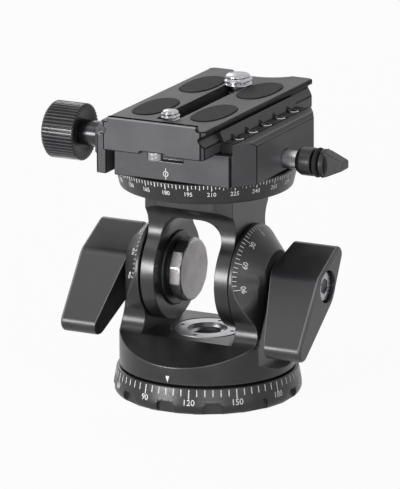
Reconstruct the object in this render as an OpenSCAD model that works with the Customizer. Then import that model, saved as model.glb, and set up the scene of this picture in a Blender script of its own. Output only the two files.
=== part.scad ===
// Tilt head for a camera: graduated pan base, fork and yoke with two wing levers, pan clamp and plate.
// Millimetres, +Z up. Origin at the centre of the base's underside, X along the tilt axis, -Y is the front.

/* [Base] */
// radius of the graduated base ring
ring_r = 31.8; // [28:0.1:36]
// height of the base ring
ring_h = 9; // [7:0.1:12]
// radius of the spigot that the fork turns on
spigot_r = 8; // [7:0.1:9]
// tripod thread, major radius of 3/8 inch
tripod_r = 4.7625; // [3.175:0.0005:4.7625]

/* [Fork] */
// radius of the fork drum
fork_r = 29.8; // [26:0.1:32]
// height of the flat floor between the ears
floor_z = 21.3; // [18:0.1:24]
// half depth of the flat floor
floor_y = 16.3; // [12:0.1:20]
// height of the slanted faces where they meet the drum wall
slant_z = 15.4; // [12:0.1:18]
// height of the tilt axis
axis_z = 41.1; // [38:0.1:46]
// rim radius of an ear
ear_r = 18.2; // [15:0.1:20]
// collar radius of an ear at its outer flat
collar_r = 10.3; // [8:0.1:12]
// inner face of an ear, from the middle
ear_in = 16.9; // [15:0.05:18]
// how far the outer flat of an ear stands back from the drum's radius
ear_back = 3.6; // [2:0.1:5]

/* [Yoke] */
// outer face of a yoke arm, from the middle
arm_out = 16.4; // [14:0.05:17]
// inner face of a yoke arm, from the middle
arm_in = 11.2; // [9:0.05:12]
// radius of the arm discs
arm_r = 17.6; // [14:0.1:18]
// half depth of the neck above the discs
neck_y = 11.2; // [8:0.1:13]
// half depth of the top block
block_y = 16; // [12:0.1:18]
// underside of the crossbar
bar_z = 62; // [58:0.1:66]

/* [Pan disc] */
// radius of the graduated disc
disc_r = 30.7; // [27:0.1:32]
// underside of the disc
disc_z = 72; // [70:0.1:75]
// thickness of the disc
disc_h = 7.2; // [5:0.1:9]

/* [Clamp] */
// how far the clamp's ends stand back from the disc's rim
clamp_back = 0.9; // [0.2:0.1:3]
// height of the clamp body under the plate
clamp_h = 10.9; // [9:0.1:13]
// left face of the clamp body
clamp_left = 19.2; // [16:0.1:22]
// right face of the clamp body
clamp_right = 29.5; // [27:0.1:32]

/* [Plate] */
// width of the dovetail plate
plate_w = 38; // [37:0.1:39]
// how far the plate's front end stands out from the clamp
front_over = 10; // [8:0.1:12]
// how far the plate's rear end stands out from the clamp
rear_over = 12.8; // [10:0.1:15]
// thickness of the plate
plate_h = 9.9; // [9:0.1:11]
// width of the screw slot
slot_w = 6.7; // [6.5:0.1:8]

/* [Clearances] */
// radial running fit of turning pieces
run = 0.05; // [0.02:0.01:0.1]
// gap between faces that turn past each other
gap = 0.3; // [0.2:0.05:0.5]
// gap under a head or beside a fixed piece
seat = 0.02; // [0:0.01:0.05]

/* [Hidden] */
$fn = 96;
e = 0.01;
fork_z = ring_h + 0.35;
bush_r = tripod_r + 2;
glide_r = 24.2;
flange_r = 19;
flange_z = ring_h - 3.4;
slope = (floor_z - slant_z) / (fork_r - floor_y);
slope_n = sqrt(1 + slope * slope);
blend_y = floor_y + 2.5;
blend_c = axis_z - floor_z + slope * (blend_y - floor_y);
blend_a = slope_n * slope_n - 1;
blend_b = -2 * (blend_c * slope_n + ear_r);
blend_k = blend_c * blend_c + blend_y * blend_y - ear_r * ear_r;
blend_r = (-blend_b - sqrt(blend_b * blend_b - 4 * blend_a * blend_k)) / (2 * blend_a);
blend_z = axis_z - blend_c + blend_r * slope_n;
foot_y = blend_y - blend_r * slope / slope_n;
nut_r = 11.8;
nut_z = floor_z - 2.8;
bolt_r = 4;
bolt_key = 5;
washer_r = arm_r - 5;
scoop_r = 9;
scoop_rise = sqrt(pow(arm_r + scoop_r, 2) - pow(neck_y + scoop_r, 2));
scoop_z = axis_z + scoop_rise;
scoop_foot = axis_z + arm_r * scoop_rise / (arm_r + scoop_r);
rim_x = ear_in + 1.3;
head_in = 4.9;
low_head = 8.2;
ear_out = fork_r - ear_back;
wing_in = ear_out + gap;
wing_out = wing_in + 18.5;
shank_x = wing_in + 13.7;
wing_reach = 28.9;
pocket_r = wing_reach + 0.5;
disc_top = disc_z + disc_h;
clamp_y = disc_r - clamp_back;
clamp_z = disc_top + gap;
plate_front = clamp_y + front_over;
plate_rear = clamp_y + rear_over;
seat_z = clamp_z + clamp_h;
plate_gap = 0.05;
plate_z = seat_z + plate_gap;
plate_top = plate_z + plate_h;
half_w = plate_w / 2;
slab_x = half_w + 0.6;
neck_x = half_w - 1.9;
dove_z = plate_z + 4.1;
groove_z = plate_z + 7.1;
knob_z = clamp_z + 4.8;
post_r = 9;
post_z = clamp_z + 6.5;
lock_z = clamp_z + 4;
spindle_r = 2.95;
small_y = 13.8 - plate_front;
large_y = plate_rear - 18.6;
stop_y = [2.8 - plate_front, plate_rear - 7.6];
pad_y = [small_y + 10.6, large_y - 5.3];

// Cylinder along +X from x0 to x1 at height z, with radii a and b
module xcyl(x0, x1, a, b, z) {
  translate([x0, 0, z]) rotate([0, 90, 0]) cylinder(h = x1 - x0, r1 = a, r2 = b);
}

// Plain tube along Z
module tube(z0, z1, ro, ri) {
  translate([0, 0, z0]) difference() {
    cylinder(h = z1 - z0, r = ro);
    translate([0, 0, -1]) cylinder(h = z1 - z0 + 2, r = ri);
  }
}

// Tube along X
module xtube(x0, x1, ro, ri, z) {
  difference() {
    xcyl(x0, x1, ro, ro, z);
    xcyl(x0 - 1, x1 + 1, ri, ri, z);
  }
}

// Side profile drawn in Y and Z, pushed along X from x0 to x1
module side(x0, x1) {
  translate([x0, 0, 0]) rotate([90, 0, 90]) linear_extrude(height = x1 - x0) children();
}

// Front profile drawn in X and Z, pushed along Y from y0 to y1
module front(y0, y1) {
  translate([0, y1, 0]) rotate([90, 0, 0]) linear_extrude(height = y1 - y0) children();
}

// Both sides of the middle plane
module both() {
  children();
  mirror([1, 0, 0]) children();
}

// Socket head screw standing on z = 0, head up, with a six-sided socket
module cap_screw(r, head_r, head_h, len) {
  difference() {
    union() {
      cylinder(h = head_h - 0.25, r = head_r);
      translate([0, 0, head_h - 0.25]) cylinder(h = 0.25, r1 = head_r, r2 = head_r - 0.25);
      translate([0, 0, -len]) cylinder(h = len + e, r = r);
    }
    translate([0, 0, head_h * 0.45]) cylinder(h = head_h, r = head_r * 0.56, $fn = 6);
  }
}

// Base
module base_ring() {
  color("#3a3a3c") difference() {
    rotate_extrude($fn = 180) polygon([[0, 0.4], [22, 0.4], [22.6, 0], [ring_r - 1.3, 0],
      [ring_r - 0.5, 0.6], [ring_r, 1.8], [ring_r, 3.2], [ring_r - 1.1, ring_h - 0.3],
      [ring_r - 1.4, ring_h], [0, ring_h]]);
    translate([0, 0, ring_h - 0.6]) cylinder(h = 10, r = glide_r + 0.2);
    translate([0, 0, flange_z]) cylinder(h = 10, r = flange_r + seat);
    translate([0, 0, -1]) cylinder(h = 40, r = bush_r + seat);
    for (a = [0 : 30 : 330]) rotate(a) translate([0, -ring_r - 1.6, 0]) notch();
    for (a = [45 : 90 : 315]) rotate(a) translate([15, 0, -1]) cylinder(h = 20, r = 1.5 + seat);
    for (a = [45 : 90 : 315]) rotate(a) translate([15, 0, -1]) cylinder(h = 3.7, r = 2.8 + seat);
  }
}

// Flanged steel spigot, screwed to the ring from below
module pan_spigot() {
  color("#a4a4a8") difference() {
    union() {
      tube(flange_z + seat, ring_h - 0.6, flange_r, bush_r + seat);
      tube(ring_h - 0.7, nut_z - 0.1, spigot_r, bush_r + seat);
    }
    for (a = [45 : 90 : 315]) rotate(a) translate([15, 0, 0]) cylinder(h = ring_h - 1, r = 1.5 + seat);
  }
}

// Grip notch in the lower edge of the ring, round at its two upper corners
module notch() {
  translate([0, 3, 0]) rotate([90, 0, 0]) linear_extrude(height = 4) union() {
    translate([-3.2, -1]) square([6.4, 3.5]);
    translate([-1.8, -1]) square([3.6, 4.9]);
    translate([-1.8, 2.5]) circle(r = 1.4);
    translate([1.8, 2.5]) circle(r = 1.4);
  }
}

module tripod_bush() {
  color("#b8b8ba") difference() {
    cylinder(h = nut_z + 1.6, r = bush_r);
    translate([0, 0, -1]) cylinder(h = 40, r = tripod_r);
    translate([0, 0, nut_z + 0.9]) cylinder(h = 0.71, r1 = tripod_r, r2 = tripod_r + 0.7);
  }
}

module pan_nut() {
  color("#c4c4c6") difference() {
    union() {
      tube(nut_z + seat, floor_z - 0.5, nut_r, bush_r + seat);
      translate([0, 0, floor_z - 0.5 - e]) difference() {
        cylinder(h = 0.5, r1 = nut_r, r2 = nut_r - 0.4);
        translate([0, 0, -1]) cylinder(h = 3, r = bush_r + seat);
      }
    }
    for (a = [0 : 90 : 270]) rotate(a) translate([nut_r - 2.4, 0, floor_z - 1.2]) cylinder(h = 3, r = 0.8);
  }
}

module glide_washer() {
  color("#d8d4c8") tube(ring_h - 0.6 + seat, fork_z - 0.05, glide_r, spigot_r + 0.1);
}

module base_screws() {
  color("#9c9ca0") for (a = [45 : 90 : 315]) rotate(a) translate([15, 0, 2.7 - seat])
    rotate([180, 0, 0]) cap_screw(1.5, 2.8, 2, 5);
}

// Fork
module ear_side() {
  translate([0, axis_z]) circle(r = ear_r, $fn = 180);
  difference() {
    translate([-foot_y, 10]) square([2 * foot_y, axis_z - ear_r * (axis_z - blend_z) / (ear_r + blend_r) - 10]);
    translate([blend_y, blend_z]) circle(r = blend_r);
    translate([-blend_y, blend_z]) circle(r = blend_r);
  }
}

module ear_block() {
  hull() {
    xcyl(ear_in, rim_x, ear_r - 0.1, ear_r - 0.1, axis_z, $fn = 64);
    xcyl(rim_x, ear_out - 0.1, ear_r - 0.1, collar_r - 0.1, axis_z, $fn = 64);
    intersection() {
      translate([0, 0, 12]) cylinder(h = 8, r = fork_r + 0.4, $fn = 64);
      translate([ear_in, -40, 0]) cube([30, 80, 40]);
    }
  }
}

// Round envelope of the ears, drawn in above the floor
module flare() {
  rotate_extrude($fn = 180) polygon([[0, fork_z + 2], [fork_r, fork_z + 2], [fork_r, floor_z - 0.8],
    [fork_r - 0.3, floor_z + 0.7], [fork_r - 0.8, floor_z + 2.5], [fork_r - 1.4, floor_z + 4.8],
    [fork_r - 1.9, floor_z + 7.6], [fork_r - 2.3, floor_z + 12], [fork_r - 2.3, 70], [0, 70]]);
}

module ear() {
  difference() {
    intersection() {
      side(ear_in, fork_r + 2) ear_side();
      flare();
      union() {
        ear_block();
        xcyl(ear_in, rim_x, ear_r, ear_r, axis_z, $fn = 180);
        xcyl(rim_x, ear_out, ear_r, collar_r, axis_z, $fn = 180);
        translate([ear_in, -40, fork_z]) cube([30, 80, 13]);
      }
    }
    xcyl(ear_in - 1, 40, bolt_r + 1.5, bolt_r + 1.5, axis_z);
    xcyl(ear_in - 1, ear_in + 0.5, arm_r - 2.1, arm_r - 2.1, axis_z);
  }
}

module fork() {
  color("#3f3f42") difference() {
    union() {
      intersection() {
        rotate_extrude($fn = 180) polygon([[spigot_r + run, fork_z], [fork_r - 0.4, fork_z],
          [fork_r, fork_z + 0.4], [fork_r, 40], [spigot_r + run, 40]]);
        side(-40, 40) polygon([[-40, 0], [40, 0], [40, floor_z - slope * (40 - floor_y)],
          [floor_y, floor_z], [-floor_y, floor_z], [-40, floor_z - slope * (40 - floor_y)]]);
      }
      both() ear();
    }
    translate([0, 0, nut_z - 0.08]) cylinder(h = 10, r = nut_r + gap);
    both() xcyl(ear_out, 40, pocket_r, pocket_r, axis_z, $fn = 180);
  }
}

module ear_bushes() {
  color("#b08d4a") both() xtube(ear_in + 0.5 + seat, ear_out - 0.2, bolt_r + 1.5 - seat, bolt_r + run, axis_z);
}

module tilt_washers() {
  color("#d8d4c8") both() xtube(arm_out + 0.05, ear_in + 0.5 - seat, arm_r - 2.2, bolt_r + 1.6, axis_z);
}

// Yoke
module yoke_side() {
  translate([0, axis_z]) circle(r = arm_r);
  difference() {
    translate([-block_y, scoop_foot]) square([2 * block_y, disc_z - scoop_foot]);
    translate([neck_y + scoop_r, scoop_z]) circle(r = scoop_r);
    translate([-neck_y - scoop_r, scoop_z]) circle(r = scoop_r);
  }
}

module yoke_gap() {
  translate([-arm_in, 10]) square([2 * arm_in, bar_z - 17.5]);
  translate([-arm_in + 7.5, 10]) square([2 * arm_in - 15, bar_z - 10]);
  for (s = [-1, 1]) translate([s * (arm_in - 7.5), bar_z - 7.5]) circle(r = 7.5);
}

module yoke() {
  color("#404043") difference() {
    side(-arm_out, arm_out) yoke_side();
    front(-40, 40) yoke_gap();
    both() xcyl(arm_in - 1, arm_in + 1, washer_r + 0.1, washer_r + 0.1, axis_z);
    both() xcyl(arm_in - e, 20, bolt_key + seat, bolt_key + seat, axis_z);
    both() corner_cut();
    both() mirror([0, 1, 0]) corner_cut();
    for (x = [-10, 10], y = [-9, 9]) translate([x, y, bar_z + 2]) cylinder(h = 20, r = 1.6);
    translate([0, 0, bar_z + 2]) cylinder(h = 20, r = 2.5 + seat);
  }
}

// Shallow facet on a vertical corner of the top block
module corner_cut() {
  translate([0, 0, scoop_z + 1]) linear_extrude(height = 40) polygon([[arm_out - 5, -block_y - e],
    [arm_out + e, -block_y - e], [arm_out + e, -block_y + 2.5]]);
}

module pivot_bolts() {
  color("#a9a9ad") union() {
    pivot_bolt(low_head, 2.2);
    mirror([1, 0, 0]) pivot_bolt(head_in, 4.2);
  }
}

// Twelve-sided head of height h from x, a round key in the arm and a plain shank in the ear
module pivot_bolt(x, h) {
  union() {
    intersection() {
      translate([x, 0, axis_z]) rotate([0, 90, 0]) rotate(15) cylinder(h = h, r = 10.95, $fn = 12);
      xcyl(x, x + h + 0.1, 10.2, 10.2 + h + 0.1, axis_z);
    }
    xcyl(x + h - 0.2, arm_out - 0.1, bolt_key, bolt_key, axis_z);
    difference() {
      xcyl(arm_out - 0.1 - e, shank_x, bolt_r, bolt_r, axis_z);
      xcyl(shank_x - 8.2, shank_x + 0.8, 1.5 + seat, 1.5 + seat, axis_z);
    }
  }
}

module bolt_washers() {
  color("#242426") union() {
    bolt_washer(low_head + 2.2 + seat, arm_in - 0.3);
    mirror([1, 0, 0]) bolt_washer(head_in + 4.2 + seat, arm_in - 0.9);
  }
}

// Stepped washer, thin from x to step and wide from there into the arm
module bolt_washer(x, step) {
  translate([0, 0, axis_z]) rotate([0, 90, 0]) rotate_extrude() polygon([[bolt_key + seat, x], [9.8, x], [9.8, step],
    [washer_r - 0.4, step], [washer_r, step + 0.3], [washer_r, arm_in + 1 - seat], [bolt_key + seat, arm_in + 1 - seat]]);
}

module wing_screws() {
  color("#bdbdc0") both() translate([shank_x + seat, 0, axis_z]) rotate([0, 90, 0]) cap_screw(1.5, 5, 3.4, 7);
}

// Pan disc
module pan_disc() {
  color("#3c3c3f") difference() {
    rotate_extrude($fn = 180) polygon([[0, disc_z + seat], [disc_r - 1.9, disc_z + seat], [disc_r - 1.5, disc_z + 0.4],
      [disc_r, disc_top - 0.35], [disc_r - 0.35, disc_top], [0, disc_top]]);
    translate([0, 0, disc_top - 4.4]) cylinder(h = 10, r = post_r + seat);
    cylinder(h = 120, r = 2.5 + seat);
    for (x = [-10, 10], y = [-9, 9]) translate([x, y, 60]) cylinder(h = 40, r = 1.6);
    for (x = [-10, 10], y = [-9, 9]) translate([x, y, disc_top - 3.6]) cylinder(h = 10, r = 3.1);
  }
}

module disc_screws() {
  color("#9c9ca0") for (x = [-10, 10], y = [-9, 9]) translate([x, y, disc_top - 3.6 + seat])
    cap_screw(1.55, 2.8, 3, 11.5);
}

module pan_post() {
  color("#b4b4b8") rotate_extrude() polygon([[2.5 + seat, disc_top - 4.4 + seat], [post_r, disc_top - 4.4 + seat],
    [post_r, lock_z - 1.6], [post_r - 0.6, lock_z - 1], [post_r - 0.6, lock_z + 1], [post_r, lock_z + 1.6],
    [post_r, post_z + 0.1], [2.5 + seat, post_z + 0.1]]);
}

module post_cap() {
  color("#c4c4c6") difference() {
    tube(post_z + 0.1 + seat, post_z + 2, 12, 2.5 + seat);
    for (a = [0, 180]) rotate(a) translate([8, 0, 0]) cylinder(h = 120, r = 1);
  }
}

module post_screw() {
  color("#8f8f94") translate([0, 0, post_z + 2 + seat]) cap_screw(2.5, 4.2, 2, post_z + 2 - bar_z - 3);
}

// Wing levers: a kite outline with equal round corners
wing_pts = [[0, 3.6 - wing_reach], [-0.8, -1.9], [0, 12.4], [0.8, -1.9]];
wing_rounds = [3.6, 8, 2.9, 8];
wing_turns = [[188.87, 351.13], [-8.87, 17.7], [17.7, 162.3], [162.3, 188.87]];
module kite(r) {
  polygon([for (i = [0 : 3], k = [0 : 1 : 12]) wing_pts[i] + (wing_rounds[i] - r) * kite_dir(wing_turns[i], k / 12)]);
}

function kite_dir(t, k) = [cos(t[0] + (t[1] - t[0]) * k), sin(t[0] + (t[1] - t[0]) * k)];

// Right lever, long end down, before it is turned
module wing() {
  difference() {
    hull() {
      translate([0, 0, axis_z]) side(wing_in, wing_out - 0.7) kite(0);
      translate([0, 0, axis_z]) side(wing_out - 1, wing_out) kite(0.7);
    }
    front(-20, 20) polygon([[20, axis_z], [wing_in, axis_z], [wing_in + 5.5, axis_z - 30], [20, axis_z - 30]]);
    front(-20, 20) polygon([[20, axis_z + 3], [wing_in, axis_z + 3], [wing_in + 2.2, axis_z + 17], [20, axis_z + 17]]);
    xcyl(20, 50, 5.5 + seat, 5.5 + seat, axis_z);
  }
}

module turn_wing() {
  translate([0, 0, axis_z]) rotate([-45, 0, 0]) translate([0, 0, -axis_z]) children();
}

module right_wing() {
  color("#4a4a4d") turn_wing() wing();
}

module left_wing() {
  color("#4a4a4d") mirror([1, 0, 0]) turn_wing() wing();
}

module insert() {
  xtube(wing_in, shank_x - 0.2, 5.5, bolt_r + run, axis_z);
}

module right_insert() {
  color("#b08d4a") insert();
}

module left_insert() {
  color("#b08d4a") mirror([1, 0, 0]) insert();
}

// Clamp
module clamp_plan() {
  corner = [[-6, 0], [-6, 0.8], [-5.3, 0.8], [-5.3, 0.1], [-4.8, 0.5], [0, 8.3]];
  polygon(concat([[-clamp_left, -clamp_y]], [for (c = corner) [clamp_right + c[0], c[1] - clamp_y]],
    [for (i = [5 : -1 : 0]) [clamp_right + corner[i][0], clamp_y - corner[i][1]]], [[-clamp_left, clamp_y]]));
}

module clamp_body() {
  color("#6b6b6e") difference() {
    translate([0, 0, clamp_z]) linear_extrude(height = clamp_h + 3.8) clamp_plan();
    front(-40, 40) polygon([[-40, seat_z], [24.3, seat_z], [24.3, seat_z + 20], [-40, seat_z + 20]]);
    front(-40, 40) polygon([[clamp_right - 1.6, seat_z + 4], [clamp_right + 1, seat_z + 1.4], [clamp_right + 1, seat_z + 4]]);
    translate([0, 0, clamp_z - 1]) cylinder(h = 40, r = post_r + run);
    translate([0, 0, post_z]) cylinder(h = 40, r = 12.4);
    xcyl(-40, 0, spindle_r + run, spindle_r + run, knob_z);
    xcyl(0, 40, 3.15 + run, 3.15 + run, lock_z);
    for (y = [-18, 18]) translate([0, y, 0]) xcyl(-40, -7, 2 + run, 2 + run, knob_z);
    for (i = [-2 : 2]) translate([22.2, i * 10.3, seat_z - 3.5]) cylinder(h = 10, r = 1.2 + seat);
    front(-40, -clamp_y + 2.5) polygon([[-6.4, seat_z - 4.3], [6.4, seat_z - 4.3], [6.4, seat_z + 1], [-6.4, seat_z + 1]]);
  }
}

module fixed_jaw() {
  color("#59595c") difference() {
    front(-clamp_y + 2.4, clamp_y - 2.4) polygon([[half_w + plate_gap, seat_z + seat], [24.2, seat_z + seat],
      [24.2, seat_z + 3.8], [20.4, seat_z + 3.8], [18.7, groove_z + 0.3], [neck_x + 0.15, groove_z + 0.05],
      [neck_x + 0.15, groove_z - 0.25], [half_w + plate_gap, dove_z]]);
    for (i = [-2 : 2]) translate([22.2, i * 10.3, seat_z - 6]) cylinder(h = 20, r = 1.2 + seat);
    for (i = [-2 : 2]) translate([22.2, i * 10.3, seat_z + 2.2]) cylinder(h = 20, r = 2.4);
  }
}

module jaw_screws() {
  color("#c6c6c9") for (i = [-2 : 2]) translate([22.2, i * 10.3, seat_z + 2.2 + seat]) cap_screw(1.2, 1.95, 1.9, 5.5);
}

// Movable jaw, its spindle and knob
module movable_jaw() {
  color("#59595c") difference() {
    union() {
      front(-clamp_y, clamp_y) polygon([[-26.1, clamp_z], [-22.2, clamp_z], [-22.2, seat_z - 0.6],
        [-half_w - plate_gap, seat_z + 0.9], [-half_w - plate_gap, seat_z + 2.5], [-26.1, seat_z + 2.5]]);
      front(-clamp_y + 1.8, clamp_y - 1.8) polygon([[-22.2, seat_z + 1], [-half_w - plate_gap, seat_z + 1],
        [-half_w - plate_gap, dove_z], [-neck_x - 0.15, groove_z - 0.25], [-neck_x - 0.15, groove_z + 0.05],
        [-20.4, groove_z + 0.3], [-22.6, groove_z - 0.6], [-25.6, seat_z + 4], [-25.6, seat_z + 1]]);
      front(-9, 9) polygon([[-24, clamp_z + 0.3], [-36.9, clamp_z + 0.3], [-37.5, clamp_z + 0.9], [-37.5, seat_z - 1.5],
        [-35.5, seat_z], [-24, seat_z + 1.9]]);
    }
    xcyl(-40, 0, spindle_r + run, spindle_r + run, knob_z);
    for (y = [-18, 18]) translate([0, y, 0]) xcyl(-24.2, 0, 2, 2, knob_z);
    for (s = [-1, 1]) translate([-26.1, s * clamp_y, 0]) rotate(45) cube([0.8, 0.8, 300], center = true);
  }
}

module guide_pins() {
  color("#b4b4b8") for (y = [-18, 18]) translate([0, y, 0]) xcyl(-24.2 + seat, -12, 2 - seat, 2 - seat, knob_z);
}

module jaw_sleeve() {
  color("#b4b4b8") xtube(-46.3, -37.5 - seat, 4.35, spindle_r + run, knob_z);
}

module clamp_knob() {
  color("#3c3c3f") intersection() {
    difference() {
      translate([-58.4, 0, knob_z]) rotate([0, 90, 0]) linear_extrude(height = 12.6) knurl();
      xcyl(-70, 0, spindle_r + seat, spindle_r + seat, knob_z);
      xcyl(-60, -57.6, 6.4, 6.4, knob_z);
    }
    translate([-58.4, 0, knob_z]) rotate([0, 90, 0]) rotate_extrude() polygon([[0, 0], [8.3, 0], [9, 0.3], [9.8, 1.3],
      [9.8, 12.3], [9.3, 12.6], [6.5, 12.6], [5.2, 12], [0, 12]]);
  }
}

module knurl() {
  polygon([for (i = [0 : 143]) (i % 3 == 2 ? 9.1 : 9.55) * [cos(i * 2.5), sin(i * 2.5)]]);
}

module knob_cap() {
  color("#2c2c2e") xcyl(-57.6 - 0.6, -57.6 - seat, 5.6, 6.2, knob_z);
}

module clamp_spindle() {
  color("#b4b4b8") xcyl(-57.6, -12.6, spindle_r, spindle_r, knob_z);
}

// Pan lock
module lock_shaft() {
  color("#c6c6c9") difference() {
    xcyl(13.4, 40, 3.15, 3.15, lock_z);
    xcyl(13, 15.4, 1.6, 1.6, lock_z);
  }
}

module lock_tip() {
  color("#b08d4a") union() {
    xcyl(post_r + 0.15, 13.4 - seat, 2.6, 2.6, lock_z);
    xcyl(13.3, 15.3, 1.6 - seat, 1.6 - seat, lock_z);
  }
}

module lock_knob() {
  color("#2f2f31") difference() {
    union() {
      translate([34.6, 0, lock_z]) rotate([0, 90, 0]) rotate_extrude() polygon([[0, 0], [3.9, 0], [4.8, 1.6],
        [4.8, 5.6], [3.4, 6], [3.4, 8.4], [4.8, 8.8], [4.8, 9.6], [4.2, 10.4], [0, 10.4]]);
      intersection() {
        front(-2.4, 2.4) polygon([[44, lock_z - 4.2], [45.2, lock_z - 4.2], [51.2, lock_z - 1.5], [51.5, lock_z - 1],
          [51.5, lock_z + 1], [51.2, lock_z + 1.5], [45.2, lock_z + 4.2], [44, lock_z + 4.2]]);
        translate([44, 0, lock_z]) rotate([0, 90, 0]) cylinder(h = 9, r1 = 4.9, r2 = 4.5);
      }
    }
    xcyl(30, 40 + seat, 3.15 + seat, 3.15 + seat, lock_z);
  }
}

module lock_ring() {
  color("#1c1c1c") translate([41.8, 0, lock_z]) rotate([0, 90, 0]) rotate_extrude() translate([4.22, 0]) circle(r = 0.8, $fn = 32);
}

// Quick release plate
module plate_front_shape() {
  polygon([[-half_w + 0.4, plate_z], [half_w - 0.4, plate_z], [half_w, plate_z + 0.4], [half_w, dove_z],
    [neck_x, groove_z - 0.3], [neck_x, groove_z + 0.1], [slab_x - 0.2, plate_top - 1.5], [slab_x, plate_top - 1.2],
    [slab_x, plate_top - 0.5], [slab_x - 0.5, plate_top], [-slab_x + 0.5, plate_top], [-slab_x, plate_top - 0.5],
    [-slab_x, plate_top - 1.2], [-slab_x + 0.2, plate_top - 1.5], [-neck_x, groove_z + 0.1],
    [-neck_x, groove_z - 0.3], [-half_w, dove_z], [-half_w, plate_z + 0.4]]);
}

module plate() {
  color("#5e5e61") difference() {
    union() {
      front(-plate_front, plate_rear) plate_front_shape();
      side(-16.4, 16.4) polygon([[-plate_front, plate_top - 1], [-plate_front + 2.2, plate_top - 1],
        [-plate_front + 2, plate_top + 1.3], [-plate_front + 1.6, plate_top + 1.7], [-plate_front + 0.4, plate_top + 1.7],
        [-plate_front, plate_top + 1.3]]);
    }
    translate([-slot_w / 2, small_y - 3.4, 0]) cube([slot_w, large_y - small_y + 7.4, 200]);
    translate([-7.6, small_y - 7.4, 0]) cube([15.2, large_y - small_y + 15.2, plate_z + 5]);
    for (s = [-1, 1]) translate([s * (slab_x - 2.5), 0, 0]) rear_corner(s);
    translate([0, plate_rear + 8.3, 0]) cylinder(h = 200, r = 14);
    for (x = [-10.8, 10.8], y = pad_y) translate([x, y, plate_top - 1]) pad(5.65, 3);
    for (y = stop_y) translate([0, y, 0]) cylinder(h = plate_z + 5, r = 1.5 + seat);
    translate([-4.5, stop_y[0] - 7, plate_z - 1]) cube([9, 10.4, 1.9]);
    for (s = [-1, 1]) translate([s * slab_x, -plate_front, 0]) rotate(45) cube([2.4, 2.4, 300], center = true);
  }
}

module rear_corner(s) {
  difference() {
    translate([s * 1.2 - 2.2, plate_rear - 2.5, 0]) cube([4.4, 4, 200]);
    translate([-s * 0.0, plate_rear - 2.5, -1]) cylinder(h = 202, r = 2.5);
    translate([-s * 10 - 10, plate_rear - 3, -1]) cube([20, 3.1, 202]);
  }
}

// Oval pad, w half width and h height, a little fuller than an ellipse
module pad(w, h) {
  linear_extrude(height = h) polygon([for (a = [0 : 7.5 : 352.5]) oval_point(w, w + 6.3, a)]);
}

function full(c) = sign(c) * pow(abs(c), 0.86);
function oval_point(w, l, a) = [w * full(cos(a)), l * full(sin(a))];

module plate_pads() {
  color("#2b2b2b") for (x = [-10.8, 10.8], y = pad_y) translate([x, y, plate_top - 1 + seat]) pad(5.6, 1.3);
}

module stop_screws() {
  color("#c6c6c9") for (y = stop_y) translate([0, y, plate_z + (y < 0 ? 0.88 : -seat)]) rotate([180, 0, 0])
    cap_screw(1.5, 2.5, y < 0 ? 2.9 : 2.1, 3.6);
}

// Camera screws: head in the channel, thin neck in the slot, thread above the plate
module camera_screw(r, low, top) {
  difference() {
    union() {
      translate([0, 0, plate_z + 0.6]) cylinder(h = 3.3, r = 6.9);
      translate([0, 0, plate_z + 3.8]) cylinder(h = low - plate_z - 3.8 + e, r = 2.7);
      translate([0, 0, low]) cylinder(h = top - low - 0.8, r = r);
      translate([0, 0, top - 0.8 - 2 * e]) cylinder(h = 0.8, r1 = r, r2 = r - 0.8);
    }
    translate([-0.8, -8, plate_z]) cube([1.6, 16, 2]);
  }
}

module screw_washer() {
  translate([0, 0, plate_z + 3.9 + seat]) difference() {
    union() {
      cylinder(h = 1, r = 5.6);
      cylinder(h = 3.4, r = slot_w / 2 - 0.15);
    }
    translate([0, 0, -1]) cylinder(h = 10, r = 2.7 + run);
  }
}

module small_washer() {
  color("#d8d4c8") translate([0, small_y, 0]) screw_washer();
}

module small_screw() {
  color("#c9c9cc") translate([0, small_y, 0]) camera_screw(3.175, plate_top + 0.1, plate_top + 2.4);
}

module large_washer() {
  color("#d8d4c8") translate([0, large_y, 0]) screw_washer();
}

module large_screw() {
  color("#c9c9cc") translate([0, large_y, 0]) camera_screw(4.7625, plate_top + 0.2, plate_top + 3.7);
}

base_ring();
pan_spigot();
tripod_bush();
pan_nut();
glide_washer();
base_screws();
fork();
ear_bushes();
tilt_washers();
yoke();
pivot_bolts();
bolt_washers();
wing_screws();
pan_disc();
disc_screws();
pan_post();
post_cap();
post_screw();
left_wing();
left_insert();
right_wing();
right_insert();
clamp_body();
fixed_jaw();
jaw_screws();
movable_jaw();
guide_pins();
jaw_sleeve();
clamp_knob();
clamp_spindle();
knob_cap();
lock_shaft();
lock_tip();
lock_knob();
lock_ring();
plate();
plate_pads();
stop_screws();
small_washer();
small_screw();
large_washer();
large_screw();
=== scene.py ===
# Camera tilt head: finishes, engraved scales, eased edges, knurl and threads
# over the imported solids.
import math

import bmesh
import bpy
from mathutils import Matrix, Quaternion, Vector
from mathutils.bvhtree import BVHTree


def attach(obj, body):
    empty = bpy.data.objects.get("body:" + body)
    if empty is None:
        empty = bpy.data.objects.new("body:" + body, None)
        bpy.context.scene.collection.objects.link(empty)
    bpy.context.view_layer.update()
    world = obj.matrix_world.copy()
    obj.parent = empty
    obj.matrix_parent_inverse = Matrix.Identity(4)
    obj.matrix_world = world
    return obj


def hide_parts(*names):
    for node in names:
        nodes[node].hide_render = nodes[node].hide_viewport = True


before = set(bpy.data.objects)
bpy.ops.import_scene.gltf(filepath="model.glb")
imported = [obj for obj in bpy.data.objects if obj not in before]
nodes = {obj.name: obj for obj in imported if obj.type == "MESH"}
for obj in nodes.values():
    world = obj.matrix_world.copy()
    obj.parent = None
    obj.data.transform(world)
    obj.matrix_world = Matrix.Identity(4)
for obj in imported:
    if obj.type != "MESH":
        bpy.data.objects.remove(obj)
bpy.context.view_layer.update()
scene = bpy.context.scene

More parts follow.
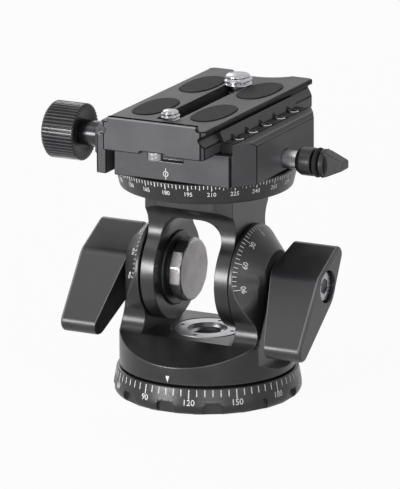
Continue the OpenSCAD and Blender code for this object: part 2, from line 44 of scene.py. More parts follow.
# Sizes in millimetres, the same as the solids
MM = 0.001
AXIS_Z = 41.1
RING_R, RING_FOOT, RING_TOP = 31.8, 3.2, 8.7
FORK_R = 29.8
EAR_R = 18.2
DISC_R, DISC_LOW, DISC_HIGH = 30.7, 72.4, 78.85
CLAMP_Y = 29.8
KNOB_X, KNOB_Z = -58.4, 84.3
LOCK_Z = 83.5
PLATE_Z, PLATE_TOP = 90.45, 100.35
SMALL_Y, LARGE_Y = -26.0, 24.0

# Painted marks reach a little into the metal and stand a hair proud of it
PAINT_IN, PAINT_OUT = -0.05, 0.03
EAR_PAINT = (-0.06, 0.04)


# Finishes
def linear(code):
    """sRGB hex to linear colour."""
    parts = [int(code[i:i + 2], 16) / 255 for i in (1, 3, 5)]
    return [c / 12.92 if c <= 0.04045 else ((c + 0.055) / 1.055) ** 2.4 for c in parts] + [1.0]


def add(tree, kind, inputs=None, **settings):
    """A node with its settings; an input that is a socket is linked, any other is set."""
    node = tree.nodes.new(kind)
    for key, value in settings.items():
        setattr(node, key, value)
    for key, value in (inputs or {}).items():
        socket = node.inputs[key]
        if isinstance(value, bpy.types.NodeSocket):
            tree.links.new(value, socket)
        else:
            socket.default_value = value
    return node


def material(name):
    """An empty material and its tree."""
    mat = bpy.data.materials.new(name)
    mat.use_nodes = True
    mat.node_tree.nodes.clear()
    return mat, mat.node_tree


def close(tree, shader):
    """The tree's end."""
    add(tree, "ShaderNodeOutputMaterial", {"Surface": shader.outputs[0]})


def skin(tree, share, deep, pale, metal, gloss, level, relief):
    """The surface itself: two tones mixed by a share, its gloss and its fine relief."""
    colour = add(tree, "ShaderNodeMix", {"Factor": share, 6: linear(deep), 7: linear(pale)},
                 data_type="RGBA")
    close(tree, add(tree, "ShaderNodeBsdfPrincipled", {
        "Base Color": colour.outputs[2], "Metallic": metal, "Roughness": gloss,
        "Specular IOR Level": level, "Normal": relief.outputs[0]}))


def anodised(name, deep, pale, metal, rough, level):
    """Aluminium, bead blasted and black anodised: an even fine grain, faint clouds in the dye
    and wide soft highlights. The real grit is near 0.1 mm, drawn at 0.3 mm so that it shows."""
    grain_mm, cloud_mm, relief_mm = 0.3, 11, 0.04
    mat, tree = material(name)
    place = add(tree, "ShaderNodeTexCoord").outputs["Object"]
    grain = add(tree, "ShaderNodeTexNoise",
                {"Vector": place, "Scale": 1000 / grain_mm, "Detail": 2.0})
    cloud = add(tree, "ShaderNodeTexNoise",
                {"Vector": place, "Scale": 1000 / cloud_mm, "Detail": 3.0})
    both = add(tree, "ShaderNodeMath", {0: grain.outputs[0], 1: 0.55, 2: cloud.outputs[0]},
               operation="MULTIPLY_ADD")
    share = add(tree, "ShaderNodeMapRange",
                {"Value": both.outputs[0], "From Min": 0.45, "From Max": 1.05})
    gloss = add(tree, "ShaderNodeMapRange", {
        "Value": cloud.outputs[0], "From Min": 0.3, "From Max": 0.7,
        "To Min": rough - 0.05, "To Max": rough + 0.06})
    relief = add(tree, "ShaderNodeBump",
                 {"Height": grain.outputs[0], "Strength": 0.22, "Distance": relief_mm * MM})
    skin(tree, share.outputs[0], deep, pale, metal, gloss.outputs[0], level, relief)
    return mat


def turned(name, deep, pale, metal, rough, level, pitch_mm, centre=(0, 0, 0), along="Z",
           depth=0.25):
    """Metal off the lathe: fine tool rings round its axis, with a few deeper ones.
    The real feed is near 0.08 mm, drawn coarser so that it shows."""
    cloud_mm, relief_mm = 7, 0.03
    mat, tree = material(name)
    coord = add(tree, "ShaderNodeTexCoord").outputs["Object"]
    place = add(tree, "ShaderNodeMapping",
                {"Vector": coord, "Location": [-c * MM for c in centre]}, vector_type="POINT")
    axes = add(tree, "ShaderNodeSeparateXYZ", {0: place.outputs[0]})
    flat = {"Z": ("X", "Y"), "X": ("Y", "Z")}[along]
    across = add(tree, "ShaderNodeCombineXYZ",
                 {0: axes.outputs[flat[0]], 1: axes.outputs[flat[1]]})
    radius = add(tree, "ShaderNodeVectorMath", {0: across.outputs[0]}, operation="LENGTH")
    travel = add(tree, "ShaderNodeMath",
                 {0: radius.outputs["Value"], 1: axes.outputs[along]}, operation="ADD")
    rings = add(tree, "ShaderNodeTexNoise",
                {"W": travel.outputs[0], "Scale": 1000 / pitch_mm, "Detail": 2.0},
                noise_dimensions="1D")
    cloud = add(tree, "ShaderNodeTexNoise",
                {"Vector": coord, "Scale": 1000 / cloud_mm, "Detail": 3.0})
    both = add(tree, "ShaderNodeMath", {0: rings.outputs[0], 1: 0.8, 2: cloud.outputs[0]},
               operation="MULTIPLY_ADD")
    share = add(tree, "ShaderNodeMapRange",
                {"Value": both.outputs[0], "From Min": 0.6, "From Max": 1.2})
    gloss = add(tree, "ShaderNodeMapRange", {
        "Value": rings.outputs[0], "From Min": 0.3, "From Max": 0.7,
        "To Min": rough - 0.05, "To Max": rough + 0.08})
    relief = add(tree, "ShaderNodeBump",
                 {"Height": rings.outputs[0], "Strength": depth, "Distance": relief_mm * MM})
    skin(tree, share.outputs[0], deep, pale, metal, gloss.outputs[0], level, relief)
    return mat


def moulded(name, deep, pale, rough, level, cell_mm, relief_mm, spread=0.35):
    """Moulded rubber or plastic: a stippled skin, a little uneven in tone, no clear
    reflections."""
    cloud_mm = 5
    mat, tree = material(name)
    place = add(tree, "ShaderNodeTexCoord").outputs["Object"]
    stipple = add(tree, "ShaderNodeTexVoronoi", {"Vector": place, "Scale": 1000 / cell_mm})
    cloud = add(tree, "ShaderNodeTexNoise",
                {"Vector": place, "Scale": 1000 / cloud_mm, "Detail": 4.0})
    both = add(tree, "ShaderNodeMath",
               {0: stipple.outputs["Distance"], 1: spread, 2: cloud.outputs[0]},
               operation="MULTIPLY_ADD")
    share = add(tree, "ShaderNodeMapRange",
                {"Value": both.outputs[0], "From Min": 0.35, "From Max": 0.85})
    gloss = add(tree, "ShaderNodeMapRange",
                {"Value": cloud.outputs[0], "To Min": rough - 0.08, "To Max": rough + 0.08})
    relief = add(tree, "ShaderNodeBump", {
        "Height": stipple.outputs["Distance"], "Strength": 0.5, "Distance": relief_mm * MM})
    skin(tree, share.outputs[0], deep, pale, 0.0, gloss.outputs[0], level, relief)
    return mat


def engraving_paint(name):
    """White enamel wiped into engraved marks: matt, a little thin in places."""
    patch_mm, relief_mm = 0.9, 0.03
    mat, tree = material(name)
    place = add(tree, "ShaderNodeTexCoord").outputs["Object"]
    thin = add(tree, "ShaderNodeTexNoise",
               {"Vector": place, "Scale": 1000 / patch_mm, "Detail": 3.0})
    relief = add(tree, "ShaderNodeBump",
                 {"Height": thin.outputs[0], "Strength": 0.2, "Distance": relief_mm * MM})
    skin(tree, thin.outputs[0], "#f2f2f0", "#c4c4c2", 0.0, 0.6, 0.5, relief)
    return mat


# Axes that tool rings run round
ON_TILT_AXIS = ((0, 0, AXIS_Z), "X")
ON_KNOB_AXIS = ((0, 0, KNOB_Z), "X")
ON_LOCK_AXIS = ((0, 0, LOCK_Z), "X")

FINISH = {
    # Anodised: name, deep and pale tone, metal, roughness, reflection level
    "fork": anodised("fork_anodised_aluminium", "#1a1a1b", "#262628", 0.15, 0.32, 0.5),
    "yoke": anodised("yoke_anodised_aluminium", "#1a1a1c", "#272729", 0.15, 0.3, 0.6),
    "clamp": anodised("clamp_anodised_aluminium", "#4a4a4c", "#58585a", 0.1, 0.45, 0.15),
    # Darker than the clamp's anodising: painted shade on the fixed jaw
    "jaw": anodised("jaw_anodised_aluminium_painted_shade", "#28282a", "#363638", 0.1, 0.42, 0.35),
    "plate": anodised("plate_anodised_aluminium", "#4c4c4e", "#5a5a5c", 0.1, 0.45, 0.2),
    "lever": anodised("lever_anodised_aluminium", "#242426", "#323234", 0.2, 0.33, 0.55),
    # Lighter and more metallic than the bodies: a painted highlight along the bevels
    "edge": anodised("edge_sheen_painted_aluminium", "#3a3a3c", "#4c4c4e", 0.5, 0.32, 0.5),
    # Near black: painted shade along the bevels of the clamp, jaws and plate
    "seam": anodised("edge_painted_shade_aluminium", "#060607", "#0c0c0d", 0.1, 0.55, 0.15),
    # Pale: a painted highlight on the levers' upper bevels and the plate lip's front edge
    "painted_highlight_edge": anodised("edge_highlight_painted_aluminium", "#6a6a6c", "#7c7c7e", 0.1, 0.5, 0.3),
    # Near black, no reflection: painted shade on the top of the plate's lip
    "lip_top_painted_shade": anodised("lip_top_painted_shade_aluminium", "#040404", "#090909", 0.0, 0.6, 0.0),
    # Paler copy of the knob's finish on the knurl ridges: a painted highlight
    "knurl": anodised("knurl_ridges_painted_highlight", "#3e3e40", "#505052", 0.3, 0.32, 0.5),
    # Turned: the same, then the pitch of the rings in mm and their axis
    "ring": turned("ring_turned_aluminium", "#1a1a1b", "#2a2a2c", 0.2, 0.34, 0.5, 0.4),
    "disc": turned("disc_turned_aluminium", "#1c1c1d", "#2a2a2c", 0.2, 0.36, 0.5, 0.4),
    # Darker than the other anodising: painted shade on the knob's body and grooves
    "knob": turned("knob_turned_aluminium_painted_shade", "#0f0f10", "#1a1a1c", 0.1, 0.4, 0.35, 0.3,
                   *ON_KNOB_AXIS),
    "bolt": turned("bolt_brushed_steel", "#7e7b7b", "#a09d9d", 1.0, 0.36, 0.5, 0.28,
                   *ON_TILT_AXIS),
    "steel": turned("screw_polished_steel", "#8c8c90", "#bcbcc0", 1.0, 0.24, 0.5, 0.5,
                    depth=0.1),
    "neck": turned("neck_polished_aluminium", "#2a2a2c", "#3c3c3e", 0.5, 0.22, 0.5, 0.4,
                   *ON_KNOB_AXIS, depth=0.1),
    "shaft": turned("shaft_turned_steel", "#b0b0b4", "#dadadc", 1.0, 0.32, 0.5, 0.4,
                    *ON_LOCK_AXIS, depth=0.15),
    "nut": turned("nut_turned_steel", "#8a8a8e", "#b8b8bb", 1.0, 0.3, 0.5, 0.3, depth=0.1),
    "brass": turned("bush_turned_brass", "#a8843c", "#cdaa62", 1.0, 0.3, 0.5, 0.3,
                    *ON_TILT_AXIS),
    "insert": turned("insert_blackened_steel", "#101011", "#1c1c1e", 0.3, 0.42, 0.4, 0.3,
                     *ON_TILT_AXIS),
    # Moulded: tones, roughness, reflection level, cell and relief in mm
    "nylon": moulded("washer_nylon", "#c9c4b6", "#ddd9cd", 0.5, 0.4, 1.2, 0.02),
    "plastic": moulded("black_moulded_plastic", "#141415", "#202022", 0.4, 0.45, 0.5, 0.02),
    "rubber": moulded("stippled_rubber", "#171717", "#292929", 0.8, 0.25, 0.55, 0.12, 0.8),
    "paint": engraving_paint("white_engraving_enamel"),
}


# Making pieces
def show(name, mesh, finishes, body, replaced=()):
    """A finished piece at the origin, riding on its body."""
    obj = bpy.data.objects.new(name, mesh)
    scene.collection.objects.link(obj)
    chosen = [min(p.material_index, len(finishes) - 1) for p in mesh.polygons]
    mesh.materials.clear()
    for finish in finishes:
        mesh.materials.append(FINISH[finish])
    mesh.polygons.foreach_set("material_index", chosen)
    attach(obj, body)
    if replaced:
        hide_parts(*replaced)
    return obj


def evaluated(obj):
    """The object's mesh with its modifiers made real; the object goes."""
    ready = obj.evaluated_get(bpy.context.evaluated_depsgraph_get())
    made = bpy.data.meshes.new_from_object(ready)
    old = obj.data
    bpy.data.objects.remove(obj)
    if isinstance(old, bpy.types.Mesh):
        bpy.data.meshes.remove(old)
    else:
        bpy.data.curves.remove(old)
    return made


def soften(mesh, angle):
    """Smooth shading, broken at edges sharper than the angle."""
    mesh.polygons.foreach_set("use_smooth", [True] * len(mesh.polygons))
    mesh.set_sharp_from_angle(angle=math.radians(angle))


def part_at(bm, axis, place):
    """Cut all faces at a plane across an axis and keep the cut as a seam."""
    across = Vector([float(axis == a) for a in "XYZ"])
    parted = bmesh.ops.bisect_plane(bm, geom=bm.verts[:] + bm.edges[:] + bm.faces[:], dist=1e-7,
                                    plane_co=across * place * MM, plane_no=across)
    for part in parted["geom_cut"]:
        if isinstance(part, bmesh.types.BMEdge):
            part.seam = True


def eased(node, body, finish, width, segments=2, angle=24, edge="edge", weld=0.002,
          cuts=(), upper_highlight=None, inner=True, smooth=30):
    """A copy of a solid with its edges sharper than the angle broken, the bevels in a finish of
    their own, the upward ones in a third finish when one is given, a painted highlight.
    Flat faces with holes are parted at the cuts, planes across an axis, so that each is a
    plain outline. Inner corners are left sharp without inner."""
    same_plane, upward, wider_than_bevel = 0.3, 0.3, 1.2
    finishes = [finish, edge, upper_highlight or edge]
    mesh = nodes[node].data.copy()
    bm = bmesh.new()
    bm.from_mesh(mesh)
    bmesh.ops.remove_doubles(bm, verts=bm.verts, dist=weld * MM)
    for axis, place in cuts:
        part_at(bm, axis, place)
    bmesh.ops.dissolve_limit(bm, angle_limit=math.radians(same_plane), verts=bm.verts,
                             edges=bm.edges, use_dissolve_boundaries=False,
                             delimit={"NORMAL", "SEAM"})
    broken = bm.edges.layers.float.new("bevel_weight_edge")
    for line in bm.edges:
        if line.calc_face_angle(0.0) > math.radians(angle) and (inner or line.is_convex):
            line[broken] = 1.0
    bm.to_mesh(mesh)
    bm.free()
    mesh.materials.clear()
    for name in finishes:
        mesh.materials.append(FINISH[name])
    mesh.polygons.foreach_set("material_index", [0] * len(mesh.polygons))
    obj = bpy.data.objects.new(node + "_blank", mesh)
    scene.collection.objects.link(obj)
    ease = obj.modifiers.new("ease", "BEVEL")
    ease.width = width * MM
    ease.segments = segments
    ease.limit_method = "WEIGHT"
    ease.material = 1
    ease.miter_outer = "MITER_ARC"
    ease.use_clamp_overlap = False
    made = evaluated(obj)
    # Broad faces keep the main finish; upward bevels take the third, a painted highlight when one
    # is given
    for p in made.polygons:
        corners = [made.vertices[i].co for i in p.vertices]
        longest = max((a - b).length for a, b in zip(corners, corners[1:] + corners[:1]))
        if p.area > wider_than_bevel * width * MM * longest:
            p.material_index = 0
        elif p.material_index == 1 and p.normal.z > upward:
            p.material_index = 2
    soften(made, smooth)
    obj = bpy.data.objects.new(node + "_beveled", made)
    scene.collection.objects.link(obj)
    even = obj.modifiers.new("even", "WEIGHTED_NORMAL")
    even.keep_sharp = True
    made = evaluated(obj)
    made.name = node + "_eased"
    return show(node + "_eased", made, finishes, body, [node])


def ring_of_marks():
    """Geometry Nodes: one mark repeated round the Z axis at a step, leaving out every skip-th."""
    tree = bpy.data.node_groups.new("marks_round_axis", "GeometryNodeTree")
    face = tree.interface
    face.new_socket("Geometry", in_out="INPUT", socket_type="NodeSocketGeometry")
    for name, kind in (("Mark", "Object"), ("Count", "Int"), ("Start", "Float"),
                       ("Step", "Float"), ("Skip", "Float"), ("Finish", "Material")):
        face.new_socket(name, in_out="INPUT", socket_type="NodeSocket" + kind)
    face.new_socket("Geometry", in_out="OUTPUT", socket_type="NodeSocketGeometry")
    given = add(tree, "NodeGroupInput").outputs
    index = add(tree, "GeometryNodeInputIndex").outputs[0]
    points = add(tree, "GeometryNodePoints", {"Count": given["Count"]})
    turn = add(tree, "ShaderNodeMath", {0: index, 1: given["Step"], 2: given["Start"]},
               operation="MULTIPLY_ADD")
    spin = add(tree, "ShaderNodeCombineXYZ", {"Z": turn.outputs[0]})
    after = add(tree, "ShaderNodeMath", {0: index, 1: 1.0}, operation="ADD")
    left = add(tree, "ShaderNodeMath", {0: after.outputs[0], 1: given["Skip"]},
               operation="MODULO")
    kept = add(tree, "ShaderNodeMath", {0: left.outputs[0], 1: 0.5}, operation="GREATER_THAN")
    mark = add(tree, "GeometryNodeObjectInfo", {"Object": given["Mark"]})
    rotation = add(tree, "FunctionNodeEulerToRotation", {0: spin.outputs[0]})
    placed = add(tree, "GeometryNodeInstanceOnPoints", {
        "Points": points.outputs[0], "Selection": kept.outputs[0],
        "Instance": mark.outputs["Geometry"], "Rotation": rotation.outputs[0]})
    real = add(tree, "GeometryNodeRealizeInstances", {0: placed.outputs[0]})
    painted = add(tree, "GeometryNodeSetMaterial",
                  {"Geometry": real.outputs[0], "Material": given["Finish"]})
    add(tree, "NodeGroupOutput", {0: painted.outputs[0]})
    return tree


MARKS = ring_of_marks()
NONE_SKIPPED = 100000.0
BOX = [(0, 3, 2, 1), (4, 5, 6, 7), (0, 1, 5, 4), (1, 2, 6, 5), (2, 3, 7, 6), (3, 0, 4, 7)]


def small_mesh(name, points, faces):
    """A mesh from points in mm."""
    made = bpy.data.meshes.new(name)
    made.from_pydata([[c * MM for c in p] for p in points], [], faces)
    return made


def ring_mesh(points, faces, count, step, start=0.0, skip=NONE_SKIPPED, finish="paint"):
    """A small mesh, given by its points in mm, repeated round Z by the marks tree.
    Angles in degrees."""
    one = small_mesh("mark", points, faces)
    mark = bpy.data.objects.new("mark", one)
    scene.collection.objects.link(mark)
    carrier = bpy.data.objects.new("carrier", bpy.data.meshes.new("carrier"))
    scene.collection.objects.link(carrier)
    modifier = carrier.modifiers.new("marks", "NODES")
    modifier.node_group = MARKS
    values = {"Mark": mark, "Count": count, "Start": math.radians(start),
              "Step": math.radians(step), "Skip": skip, "Finish": FINISH[finish]}
    for item in MARKS.interface.items_tree:
        if item.in_out == "INPUT" and item.name in values:
            modifier[item.identifier] = values[item.name]
    made = evaluated(carrier)
    bpy.data.objects.remove(mark)
    bpy.data.meshes.remove(one)
    return made


def tick(radius, z0, z1, width):
    """Points of one tick on the -Y side of a cone about Z, radius being a function of height."""
    half = width / 2
    outline = ((-half, z0), (half, z0), (half, z1), (-half, z1))
    return [(x, -(radius(z) + d), z) for d in (PAINT_IN, PAINT_OUT) for x, z in outline]


def as_mesh(name, bm):
    """The finished mesh of a bmesh, its faces turned outwards."""
    bmesh.ops.recalc_face_normals(bm, faces=bm.faces)
    made = bpy.data.meshes.new(name)
    bm.to_mesh(made)
    bm.free()
    return made


def joined(meshes):
    """Several meshes as one."""
    bm = bmesh.new()
    for mesh in meshes:
        bm.from_mesh(mesh)
        bpy.data.meshes.remove(mesh)
    return as_mesh("joined", bm)


def digits(text, height, place):
    """Figures of that height, each point taken to its place on a surface from
    (across, up, proud) in mm."""
    figure_share = 0.7
    curve = bpy.data.curves.new("digits", "FONT")
    curve.body = text
    curve.align_x = "CENTER"
    curve.align_y = "CENTER"
    curve.size = height / figure_share
    curve.resolution_u = 3
    curve.extrude = 0.035
    curve.offset = 0.02
    obj = bpy.data.objects.new("digits", curve)
    scene.collection.objects.link(obj)
    made = evaluated(obj)
    for v in made.vertices:
        v.co = Vector(place(v.co.x, v.co.y, v.co.z)) * MM
    return made


def on_cone(radius, phi, z):
    """Place on a cone about Z at angle phi from the front towards +X."""
    def place(across, up, proud):
        a = math.radians(phi) + across / radius(z)
        r = radius(z + up) + proud
        return r * math.sin(a), -r * math.cos(a), z + up
    return place


def lathe(profile, steps):
    """A closed turned shape about Z from (radius, height) points in mm."""
    bm = bmesh.new()
    rings = []
    for k in range(steps):
        a = 2 * math.pi * k / steps
        rings.append([bm.verts.new((r * MM * math.cos(a), r * MM * math.sin(a), z * MM))
                      for r, z in profile])
    for k in range(steps):
        one, two = rings[k], rings[(k + 1) % steps]
        for i in range(len(profile)):
            j = (i + 1) % len(profile)
            bm.faces.new((one[i], two[i], two[j], one[j]))
    return as_mesh("turned", bm)


# Base ring and its scale
eased("base_ring", "base", "ring", 0.25, edge="ring",
      cuts=[("X", 0), ("X", -10.607), ("X", 10.607)])


def ring_side(z):
    """Radius of the base ring's leaning side."""
    lean = 1.1
    return RING_R - lean * (z - RING_FOOT) / (RING_TOP - RING_FOOT)


base_marks = [ring_mesh(tick(ring_side, 6.3, 8.5, 0.34), BOX, 72, 5, -10, 6),
              ring_mesh(tick(ring_side, 5.4, 8.5, 0.38), BOX, 12, 30, -15)]
for k in range(12):
    value = (90 + 30 * k) % 360
    base_marks.append(digits(str(value), 2.0, on_cone(ring_side, -15 + 30 * k, 4.15)))
show("base_scale", joined(base_marks), ["paint"], "base")

# Fork, its index and the ear scales
eased("fork", "fork", "fork", 0.3, angle=40, weld=0.1, cuts=[("X", 0), ("Z", AXIS_Z)],
      inner=False, smooth=21)

ARROW = ((-0.75, 12.4), (0.75, 12.4), (0, 10.1))
arrow = small_mesh("arrow", [(x, -FORK_R - d, z) for d in (PAINT_IN, PAINT_OUT) for x, z in ARROW],
                   [(0, 1, 2), (5, 4, 3), (0, 3, 4, 1), (1, 4, 5, 2), (2, 5, 3, 0)])
show("fork_index", joined([arrow]), ["paint"], "fork")

fork_mesh = nodes["fork"].data
fork_skin = BVHTree.FromPolygons([v.co for v in fork_mesh.vertices],
                                 [p.vertices for p in fork_mesh.polygons])


def on_ear(side, theta, radius, proud):
    """Point in mm over an ear's outer face, theta from the top towards the front, laid on the
    fork's own skin."""
    outside = 60
    a = math.radians(theta)
    start = Vector((side * outside, -radius * math.sin(a), AXIS_Z + radius * math.cos(a))) * MM
    spot = fork_skin.ray_cast(start, Vector((-side, 0, 0)))[0] / MM
    return spot.x + side * proud, spot.y, spot.z


def ear_figures(side, front, value):
    """Figures along the scale, their tops towards the rim, foreshortened by the cone's slope."""
    middle_r, slope, height = 15.4, 0.74, 1.75

    def place(across, up, proud):
        theta = front * value - side * math.degrees(across / middle_r)
        return on_ear(side, theta, middle_r + up * slope, proud * 1.4)
    return digits(str(value), height, place)


def ear_tick(side, theta, r0, r1, width):
    """One tick along an ear's radius."""
    half = math.degrees(width / 2 / EAR_R)
    outline = ((-half, r0), (half, r0), (half, r1), (-half, r1))
    return small_mesh("ear_tick", [on_ear(side, theta + d, r, proud)
                                   for proud in EAR_PAINT for d, r in outline], BOX)


ear_marks = []
for side in (-1, 1):
    for theta in range(-90, 91, 5):
        ear_marks.append(ear_tick(side, theta, 16.2 if theta % 30 == 0 else 17.1, 18.1, 0.26))
    for front in (-1, 1):
        for value in (0, 30, 60, 90):
            if value or front == 1:
                ear_marks.append(ear_figures(side, front, value))
show("ear_scales", joined(ear_marks), ["paint"], "fork")

# Yoke and its bolts
eased("yoke", "yoke", "yoke", 0.35, angle=28, edge="yoke", weld=0.06,
      cuts=[("Z", AXIS_Z), ("X", 0), ("X", -10), ("X", 10)])
eased("pivot_bolts", "yoke", "bolt", 0.4, edge="nut")
eased("bolt_washers", "yoke", "plastic", 0.15, edge="plastic",
      cuts=[("Z", AXIS_Z)])

# Pan disc and its scale
eased("pan_disc", "yoke", "disc", 0.2, edge="disc",
      cuts=[("X", 0), ("X", -10), ("X", 10)])


def disc_side(z):
    """Radius of the pan disc's leaning side."""
    lean = 1.5
    return DISC_R - lean + lean * (z - DISC_LOW) / (DISC_HIGH - DISC_LOW)


disc_marks = [ring_mesh(tick(disc_side, 77.5, 78.75, 0.28), BOX, 144, 2.5, 2.5, 3),
              ring_mesh(tick(disc_side, 77.1, 78.75, 0.28), BOX, 48, 7.5, 7.5, 2),
              ring_mesh(tick(disc_side, 76.8, 78.75, 0.32), BOX, 24, 15, 0)]
for k in range(24):
    value = (180 + 15 * k) % 360
    disc_marks.append(digits(str(value), 1.45, on_cone(disc_side, 15 * k, 75.5)))
show("disc_scale", joined(disc_marks), ["paint"], "yoke")

# Levers, their upper bevels paler as a painted highlight
for side in ("left", "right"):
    eased(side + "_wing", side + "_lever", "lever", 0.35, segments=3, angle=20,
          cuts=[("Z", AXIS_Z)], upper_highlight="painted_highlight_edge")

# Clamp, jaws and plate: their bevels near black as painted shade, the upper bevels of the clamp
# # and movable jaw paler as a painted highlight
eased("clamp_body", "clamp", "clamp", 0.3, edge="seam",
      cuts=[("X", 0), ("X", 22.2), ("Z", KNOB_Z)], upper_highlight="edge")
# The fixed jaw's darker finish is painted shade
eased("fixed_jaw", "clamp", "jaw", 0.2, edge="seam", cuts=[("X", 22.2)])
eased("movable_jaw", "jaw", "clamp", 0.35, edge="seam", cuts=[("Z", KNOB_Z)],
      upper_highlight="edge")
plate = eased("plate", "plate", "plate", 0.35, edge="seam",
              cuts=[("X", -10.8), ("X", 0), ("X", 10.8)])

# The plate's lip: a painted highlight along its front edge, painted shade on its top
LIP_PAINTED_HIGHLIGHT, LIP_PAINTED_SHADE = 2, 3
plate.data.materials[LIP_PAINTED_HIGHLIGHT] = FINISH["painted_highlight_edge"]
plate.data.materials.append(FINISH["lip_top_painted_shade"])
for p in plate.data.polygons:
    if p.center.z > (PLATE_TOP + 0.9) * MM and p.normal.z > 0.1:
        p.material_index = LIP_PAINTED_HIGHLIGHT if p.normal.y < -0.72 else LIP_PAINTED_SHADE
    elif p.material_index == LIP_PAINTED_HIGHLIGHT:
        p.material_index = 1
eased("plate_pads", "plate", "rubber", 0.15, edge="rubber")


def clamp_index():
    """A ring crossed by a line, engraved on the clamp's front."""
    middle_z, r_in, r_out, half_line, steps = 81.9, 0.72, 0.98, 0.13, 40
    y_in, y_out = -CLAMP_Y - PAINT_IN, -CLAMP_Y - PAINT_OUT
    bm = bmesh.new()
    loops = []
    for r, y in ((r_in, y_in), (r_in, y_out), (r_out, y_out), (r_out, y_in)):
        turns = [2 * math.pi * k / steps for k in range(steps)]
        loops.append([bm.verts.new(Vector((r * math.sin(a), y, middle_z + r * math.cos(a))) * MM)
                      for a in turns])
    for k in range(steps):
        n = (k + 1) % steps
        for one, two in zip(loops, loops[1:] + loops[:1]):
            bm.faces.new((one[k], one[n], two[n], two[k]))
    for z0, z1 in ((80.0, 81.0), (82.8, 83.8), (81.4, 82.4)):
        outline = ((-half_line, z0), (half_line, z0), (half_line, z1), (-half_line, z1))
        corners = [bm.verts.new(Vector((x, y, z)) * MM) for y in (y_in, y_out) for x, z in outline]
        for f in BOX:
            bm.faces.new([corners[i] for i in f])
    return as_mesh("clamp_index", bm)


show("clamp_index_mark", clamp_index(), ["paint"], "clamp")


# Clamp knob: turned body with straight knurl, the ridges paler as a painted highlight and the
# # body darker as painted shade
def knob_mesh():
    """The knob about Z from its outer end, laid along X at its place."""
    body = lathe([(2.98, 0.8), (6.45, 0.8), (6.45, 0.25), (6.7, 0.05), (7.9, 0.0), (8.5, 0.2),
                  (8.9, 0.7), (9.1, 1.1), (9.1, 12.35), (8.9, 12.55), (7.3, 12.55), (6.5, 12.3),
                  (5.2, 12.0), (2.98, 12.0)], 96)
    root_r, crest_share, count = 8.8, 0.55, 48
    ridge = []
    for z, r, w in ((0.65, 9.0, 0.2), (1.3, 9.75, 0.4), (12.3, 9.75, 0.4), (12.58, 9.4, 0.34)):
        crest = w * crest_share
        ridge += [(-w, -root_r, z), (-crest, -r, z), (crest, -r, z), (w, -root_r, z)]
    faces = [(0, 1, 2, 3), (15, 14, 13, 12)]
    for row in range(0, 12, 4):
        for a in range(row, row + 3):
            faces.append((a, a + 4, a + 5, a + 1))
    ridges = ring_mesh(ridge, faces, count, 360 / count, finish="knurl")
    # The ridges take the second finish, their painted highlight
    ridges.polygons.foreach_set("material_index", [1] * len(ridges.polygons))
    to_place = Matrix.Translation(Vector((KNOB_X, 0, KNOB_Z)) * MM)
    for mesh in (body, ridges):
        mesh.transform(to_place @ Matrix.Rotation(math.pi / 2, 4, "Y"))
    made = joined([body, ridges])
    soften(made, 30)
    return made


show("knurled_knob", knob_mesh(), ["knob", "knurl"], "knob", ["clamp_knob"])


# Camera screws with real threads
def camera_screw(name, y, r, pitch, depth, low, top, node):
    """A screw on the plate's middle line: flat head in the channel, neck, thread from low to
    near the top and a chamfered end."""
    head_r, head_low, head_high, ease, neck_r = 6.9, PLATE_Z + 0.6, PLATE_Z + 3.9, 0.3, 2.7
    steps, rows_per_turn = 40, 8
    root = r - depth
    length = top - 0.5 - low
    count = int(length / pitch * rows_per_turn)
    rows = [(0, head_low, False), (head_r - ease, head_low, False),
            (head_r, head_low + ease, False), (head_r, head_high - ease, False),
            (head_r - ease, head_high, False), (neck_r, head_high, False),
            (neck_r, low - 0.4, False), (root, low, False)]
    rows += [(r, low + 0.02 + length * k / count, True) for k in range(count + 1)]
    rows += [(root - 0.1, top - 0.25, False), (root - 0.5, top, False), (0, top, False)]

    def thread_r(height, share):
        """Radius on the thread at a height and a share of a turn, fading out near the top."""
        turn = (height / pitch - share) % 1.0
        fade = max(0.0, min(1.0, (top - 0.35 - height) / (0.6 * pitch)))
        return root + depth * fade * max(0.0, min(1.0, 2.6 * (0.5 - abs(turn - 0.5)) - 0.15))

    bm = bmesh.new()
    grid = []
    for radius, height, threaded in rows:
        ring = []
        for k in range(steps):
            a = 2 * math.pi * k / steps
            rr = thread_r(height, k / steps) if threaded else radius
            ring.append(bm.verts.new(Vector((rr * math.cos(a), y + rr * math.sin(a), height)) * MM))
        grid.append(ring)
    for one, two in zip(grid, grid[1:]):
        for k in range(steps):
            n = (k + 1) % steps
            bm.faces.new((one[k], one[n], two[n], two[k]))
    bmesh.ops.remove_doubles(bm, verts=bm.verts, dist=1e-7)
    made = as_mesh(name, bm)
    soften(made, 50)
    show(name, made, ["steel"], node, [node])


camera_screw("small_camera_screw", SMALL_Y, 3.175, 1.27, 0.6, PLATE_TOP - 2.2, PLATE_TOP + 2.4,
             "small_screw")
camera_screw("large_camera_screw", LARGE_Y, 4.7625, 1.5875, 0.75, PLATE_TOP + 0.2,
             PLATE_TOP + 3.7, "large_screw")

# Pan lock knob
eased("lock_knob", "lock", "plastic", 0.25, edge="plastic")

# Solids that keep their shape
KEPT = {
    "steel": ["base_screws", "wing_screws", "disc_screws", "jaw_screws", "post_screw",
              "stop_screws", "guide_pins", "clamp_spindle", "pan_spigot", "pan_post", "post_cap"],
    "neck": ["jaw_sleeve"],
    "shaft": ["lock_shaft"],
    "nut": ["tripod_bush", "pan_nut"],
    "brass": ["ear_bushes", "lock_tip"],
    "insert": ["left_insert", "right_insert"],
    "nylon": ["glide_washer", "tilt_washers", "small_washer", "large_washer"],
    "plastic": ["knob_cap"],
    "rubber": ["lock_ring"],
}
for finish, names in KEPT.items():
    for name in names:
        mesh = nodes[name].data
        mesh.materials.clear()
        mesh.materials.append(FINISH[finish])


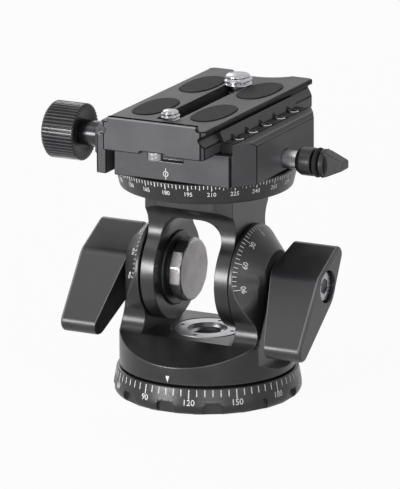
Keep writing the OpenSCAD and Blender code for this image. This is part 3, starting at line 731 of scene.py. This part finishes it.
# Floor, light and camera
def seen_share(tree):
    """1 where the eye meets the surroundings: straight, in a reflection or through a piece."""
    ray = add(tree, "ShaderNodeLightPath").outputs
    seen = ray["Is Camera Ray"]
    for kind in ("Is Glossy Ray", "Is Transmission Ray"):
        seen = add(tree, "ShaderNodeMath", {0: seen, 1: ray[kind]}, operation="MAXIMUM").outputs[0]
    return seen


def pale_floor():
    """A white studio floor that shows only a faint shadow."""
    whiteness, half_m = 0.95, 6.0
    mat, tree = material("pale_floor")
    share = add(tree, "ShaderNodeMath", {0: seen_share(tree), 1: whiteness}, operation="MULTIPLY")
    paint = add(tree, "ShaderNodeBsdfDiffuse", {"Color": linear("#f4f4f4")})
    white = add(tree, "ShaderNodeEmission", {"Strength": 1.0})
    close(tree, add(tree, "ShaderNodeMixShader",
                    {0: share.outputs[0], 1: paint.outputs[0], 2: white.outputs[0]}))
    mesh = bpy.data.meshes.new("floor")
    corners = ((-1, -1), (1, -1), (1, 1), (-1, 1))
    mesh.from_pydata([(x * half_m, y * half_m, 0) for x, y in corners], [], [(0, 1, 2, 3)])
    mesh.materials.append(mat)
    floor = bpy.data.objects.new("floor", mesh)
    scene.collection.objects.link(floor)


def sky():
    """White to the eye, with little light of its own."""
    world = bpy.data.worlds.new("studio")
    scene.world = world
    world.use_nodes = True
    tree = world.node_tree
    tree.nodes.clear()
    soft = add(tree, "ShaderNodeBackground", {"Color": linear("#ffffff"), "Strength": 0.1})
    white = add(tree, "ShaderNodeBackground", {"Color": linear("#ffffff"), "Strength": 1.0})
    mix = add(tree, "ShaderNodeMixShader",
              {0: seen_share(tree), 1: soft.outputs[0], 2: white.outputs[0]})
    add(tree, "ShaderNodeOutputWorld", {"Surface": mix.outputs[0]})


MIDDLE = Vector((0, 0, 0.0515))


def lamp(name, place, size, power):
    """A soft box at a place in metres, aimed at the middle of the head, with its size and watts."""
    light = bpy.data.lights.new(name, "AREA")
    light.shape = "RECTANGLE"
    light.size, light.size_y = size
    light.energy = power
    obj = bpy.data.objects.new(name, light)
    obj.location = place
    obj.rotation_euler = (MIDDLE - Vector(place)).to_track_quat("-Z", "Y").to_euler()
    scene.collection.objects.link(obj)


pale_floor()
sky()
lamp("key_low", (-0.5, -1.0, 0.2), (0.45, 0.3), 10.3)
lamp("front_right", (0.6, -1.0, 0.06), (0.6, 0.1), 3.0)
lamp("key_high", (-0.55, -0.56, 1.08), (0.5, 0.4), 1.3)
lamp("right_strip", (0.95, -0.4, 0.3), (0.25, 0.4), 1.2)
lamp("back_left", (-0.7, 0.7, 0.5), (0.4, 0.4), 2.4)

# The camera, fitted to the picture: lengths in picture rows, distance in metres
ROWS, FOCAL_ROWS, SHIFT_ROWS = 489, 5655, (-7.04, -3.28)
SENSOR_MM, DISTANCE, ROLL = 36.0, 1.898, -0.35
camera = bpy.data.cameras.new("camera")
camera.sensor_fit = "VERTICAL"
camera.sensor_height = SENSOR_MM
camera.lens = FOCAL_ROWS * SENSOR_MM / ROWS
camera.shift_x, camera.shift_y = (shift / ROWS for shift in SHIFT_ROWS)
camera.clip_end = 20.0
eye = bpy.data.objects.new("camera", camera)
back = Vector((0.4366, -0.8595, 0.2657)).normalized()
eye.location = MIDDLE + back * DISTANCE
level = (-back).to_track_quat("-Z", "Y")
eye.rotation_euler = (level @ Quaternion((0, 0, 1), math.radians(ROLL))).to_euler()
scene.collection.objects.link(eye)
scene.camera = eye
scene.view_settings.view_transform = "Standard"
